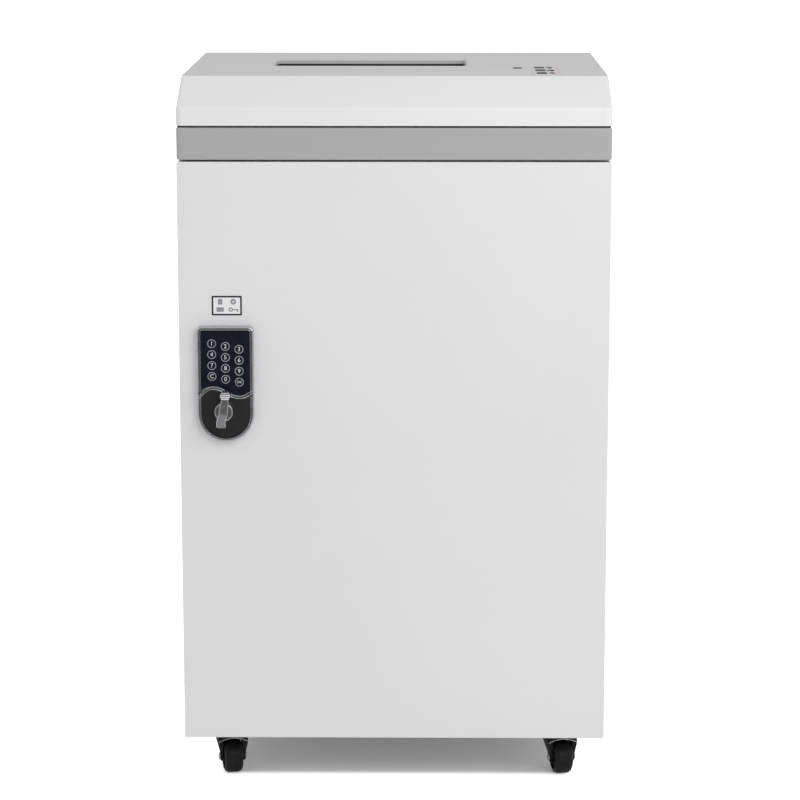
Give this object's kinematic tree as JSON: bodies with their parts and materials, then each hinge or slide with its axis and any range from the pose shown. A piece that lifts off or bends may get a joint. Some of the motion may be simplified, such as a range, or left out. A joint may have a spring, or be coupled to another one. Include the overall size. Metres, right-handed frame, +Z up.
{
  "type": "multimedia shredder",
  "caption": "Floor-standing multimedia shredder: sheet-steel cabinet on casters, keypad-locked door, sloping head with a feed slot over a geared cutting unit, and a waste bin.",
  "frame": {"origin": "on the floor, under the middle of the whole machine's outline", "axes": "+X to the machine's right as seen from the front, -Y the front with the door, +Z up"},
  "size_m": [0.5, 0.4976, 0.8388],
  "materials": {
    "white_powder_coat": "fine satin powder coat",
    "galvanised_steel": "zinc plated sheet",
    "grey_moulding": "fine grained mid grey ABS",
    "white_moulding": "fine grained white ABS",
    "panel_grey": "light grey textured plastic",
    "black_plastic": "black moulded plastic",
    "gunmetal": "satin gunmetal lacquer on die casting",
    "glossy_black": "glossy blue-black panel",
    "chrome": "polished chrome plate",
    "zinc_bright": "bright zinc plate",
    "tool_steel": "hardened steel, oiled",
    "gear_steel": "machined steel",
    "bronze": "sintered bronze",
    "motor_paint": "black stoved motor paint",
    "bin_grey": "dark grey polypropylene",
    "board_green": "circuit board with components",
    "caster_black": "black nylon"
  },
  "bodies": {
    "cabinet": {"cabinet_side_left": "white_powder_coat", "cabinet_side_right": "white_powder_coat", "caster_plates": "zinc_bright", "cabinet_base": "galvanised_steel", "cabinet_shelf": "galvanised_steel", "cabinet_back": "white_powder_coat", "band_frame": "grey_moulding", "head_cover": "white_moulding", "top_panel": "panel_grey", "feed_throat": "black_plastic", "control_plate": "panel_grey", "hinge_brackets": "galvanised_steel", "motor_housing": "motor_paint", "frame_plates": "tool_steel", "roller_bearings": "bronze", "tie_rods": "zinc_bright", "stripper_combs": "tool_steel", "control_board": "board_green", "waste_bin": "bin_grey", "mains_inlet": "black_plastic"},
    "door": {"door_panel": "white_powder_coat", "door_liner": "galvanised_steel", "lock_bezel": "gunmetal", "lock_face": "glossy_black", "lock_lower": "black_plastic", "lock_trim": "chrome", "lock_case": "black_plastic"},
    "lock_knob": {"lock_knob": "chrome", "lock_cam": "zinc_bright"},
    "caster_front_left": {"caster_fork_front_left": "caster_black"},
    "wheel_front_left": {"caster_wheel_front_left": "caster_black"},
    "caster_front_right": {"caster_fork_front_right": "caster_black"},
    "wheel_front_right": {"caster_wheel_front_right": "caster_black"},
    "caster_rear_left": {"caster_fork_rear_left": "caster_black"},
    "wheel_rear_left": {"caster_wheel_rear_left": "caster_black"},
    "caster_rear_right": {"caster_fork_rear_right": "caster_black"},
    "wheel_rear_right": {"caster_wheel_rear_right": "caster_black"},
    "button_reverse_body": {"button_reverse": "black_plastic"},
    "button_stop_body": {"button_stop": "black_plastic"},
    "button_forward_body": {"button_forward": "black_plastic"},
    "button_power_body": {"button_power": "panel_grey"},
    "key_1_body": {"key_1": "glossy_black"},
    "key_2_body": {"key_2": "glossy_black"},
    "key_3_body": {"key_3": "glossy_black"},
    "key_4_body": {"key_4": "glossy_black"},
    "key_5_body": {"key_5": "glossy_black"},
    "key_6_body": {"key_6": "glossy_black"},
    "key_7_body": {"key_7": "glossy_black"},
    "key_8_body": {"key_8": "glossy_black"},
    "key_9_body": {"key_9": "glossy_black"},
    "key_clear_body": {"key_clear": "glossy_black"},
    "key_0_body": {"key_0": "glossy_black"},
    "key_ok_body": {"key_ok": "glossy_black"},
    "rocker": {"mains_rocker": "black_plastic"},
    "front_roller": {"roller_front": "tool_steel", "sync_gear_front": "gear_steel"},
    "rear_roller": {"roller_rear": "tool_steel", "roller_rear_gears": "gear_steel"},
    "idler": {"idler_gear": "gear_steel"},
    "rotor": {"motor_rotor": "motor_paint"}
  },
  "joints": [
    {"name": "door_hinge", "type": "hinge", "parent": "cabinet", "child": "door", "pos_m": [0.2455, -0.20475, 0.4015], "axis": [0, 0, 1], "range_deg": [0, 110]},
    {"name": "lock_turn", "type": "hinge", "parent": "door", "child": "lock_knob", "pos_m": [-0.1975, -0.21475, 0.457], "axis": [0, 1, 0], "range_deg": [0, 90]},
    {"name": "swivel_front_left", "type": "hinge", "parent": "cabinet", "child": "caster_front_left", "pos_m": [-0.199, -0.15675, 0.0465], "axis": [0, 0, 1], "continuous": true},
    {"name": "roll_front_left", "type": "hinge", "parent": "caster_front_left", "child": "wheel_front_left", "pos_m": [-0.19633, -0.17049, 0.02], "axis": [0.9816, 0.1908, 0], "continuous": true},
    {"name": "swivel_front_right", "type": "hinge", "parent": "cabinet", "child": "caster_front_right", "pos_m": [0.199, -0.15675, 0.0465], "axis": [0, 0, 1], "continuous": true},
    {"name": "roll_front_right", "type": "hinge", "parent": "caster_front_right", "child": "wheel_front_right", "pos_m": [0.20167, -0.17049, 0.02], "axis": [0.9816, 0.1908, 0], "continuous": true},
    {"name": "swivel_rear_left", "type": "hinge", "parent": "cabinet", "child": "caster_rear_left", "pos_m": [-0.199, 0.17525, 0.0465], "axis": [0, 0, 1], "continuous": true},
    {"name": "roll_rear_left", "type": "hinge", "parent": "caster_rear_left", "child": "wheel_rear_left", "pos_m": [-0.20167, 0.16151, 0.02], "axis": [0.9816, -0.1908, 0], "continuous": true},
    {"name": "swivel_rear_right", "type": "hinge", "parent": "cabinet", "child": "caster_rear_right", "pos_m": [0.199, 0.17525, 0.0465], "axis": [0, 0, 1], "continuous": true},
    {"name": "roll_rear_right", "type": "hinge", "parent": "caster_rear_right", "child": "wheel_rear_right", "pos_m": [0.20167, 0.16151, 0.02], "axis": [0.9816, 0.1908, 0], "continuous": true},
    {"name": "button_reverse_press", "type": "slide", "parent": "cabinet", "child": "button_reverse_body", "axis": [0, 0, -1], "range_m": [0, 0.002], "stiffness_N_per_m": 400},
    {"name": "button_stop_press", "type": "slide", "parent": "cabinet", "child": "button_stop_body", "axis": [0, 0, -1], "range_m": [0, 0.002], "stiffness_N_per_m": 400},
    {"name": "button_forward_press", "type": "slide", "parent": "cabinet", "child": "button_forward_body", "axis": [0, 0, -1], "range_m": [0, 0.002], "stiffness_N_per_m": 400},
    {"name": "button_power_press", "type": "slide", "parent": "cabinet", "child": "button_power_body", "axis": [0, 0, -1], "range_m": [0, 0.002], "stiffness_N_per_m": 400},
    {"name": "key_1_press", "type": "slide", "parent": "door", "child": "key_1_body", "axis": [0, 1, 0], "range_m": [0, 0.0012], "stiffness_N_per_m": 300},
    {"name": "key_2_press", "type": "slide", "parent": "door", "child": "key_2_body", "axis": [0, 1, 0], "range_m": [0, 0.0012], "stiffness_N_per_m": 300},
    {"name": "key_3_press", "type": "slide", "parent": "door", "child": "key_3_body", "axis": [0, 1, 0], "range_m": [0, 0.0012], "stiffness_N_per_m": 300},
    {"name": "key_4_press", "type": "slide", "parent": "door", "child": "key_4_body", "axis": [0, 1, 0], "range_m": [0, 0.0012], "stiffness_N_per_m": 300},
    {"name": "key_5_press", "type": "slide", "parent": "door", "child": "key_5_body", "axis": [0, 1, 0], "range_m": [0, 0.0012], "stiffness_N_per_m": 300},
    {"name": "key_6_press", "type": "slide", "parent": "door", "child": "key_6_body", "axis": [0, 1, 0], "range_m": [0, 0.0012], "stiffness_N_per_m": 300},
    {"name": "key_7_press", "type": "slide", "parent": "door", "child": "key_7_body", "axis": [0, 1, 0], "range_m": [0, 0.0012], "stiffness_N_per_m": 300},
    {"name": "key_8_press", "type": "slide", "parent": "door", "child": "key_8_body", "axis": [0, 1, 0], "range_m": [0, 0.0012], "stiffness_N_per_m": 300},
    {"name": "key_9_press", "type": "slide", "parent": "door", "child": "key_9_body", "axis": [0, 1, 0], "range_m": [0, 0.0012], "stiffness_N_per_m": 300},
    {"name": "key_clear_press", "type": "slide", "parent": "door", "child": "key_clear_body", "axis": [0, 1, 0], "range_m": [0, 0.0012], "stiffness_N_per_m": 300},
    {"name": "key_0_press", "type": "slide", "parent": "door", "child": "key_0_body", "axis": [0, 1, 0], "range_m": [0, 0.0012], "stiffness_N_per_m": 300},
    {"name": "key_ok_press", "type": "slide", "parent": "door", "child": "key_ok_body", "axis": [0, 1, 0], "range_m": [0, 0.0012], "stiffness_N_per_m": 300},
    {"name": "rocker_tilt", "type": "hinge", "parent": "cabinet", "child": "rocker", "pos_m": [0.175, 0.24275, 0.705], "axis": [-1, 0, 0], "range_deg": [0, 12]},
    {"name": "rear_roller_spin", "type": "hinge", "parent": "cabinet", "child": "rear_roller", "pos_m": [-0.0325, 0.07525, 0.7], "axis": [1, 0, 0], "continuous": true},
    {"name": "front_roller_spin", "type": "hinge", "parent": "cabinet", "child": "front_roller", "pos_m": [-0.0325, 0.02925, 0.7], "axis": [1, 0, 0], "continuous": true},
    {"name": "idler_spin", "type": "hinge", "parent": "cabinet", "child": "idler", "pos_m": [0.102, 0.12721, 0.73], "axis": [1, 0, 0], "continuous": true},
    {"name": "rotor_spin", "type": "hinge", "parent": "cabinet", "child": "rotor", "pos_m": [0.0915, 0.16965, 0.69502], "axis": [1, 0, 0], "continuous": true}
  ],
  "couplings": [
    {"joint": "front_roller_spin", "follows": "rear_roller_spin", "ratio": -1},
    {"joint": "idler_spin", "follows": "rear_roller_spin", "ratio": -3.2857},
    {"joint": "rotor_spin", "follows": "rear_roller_spin", "ratio": 13.143}
  ]
}
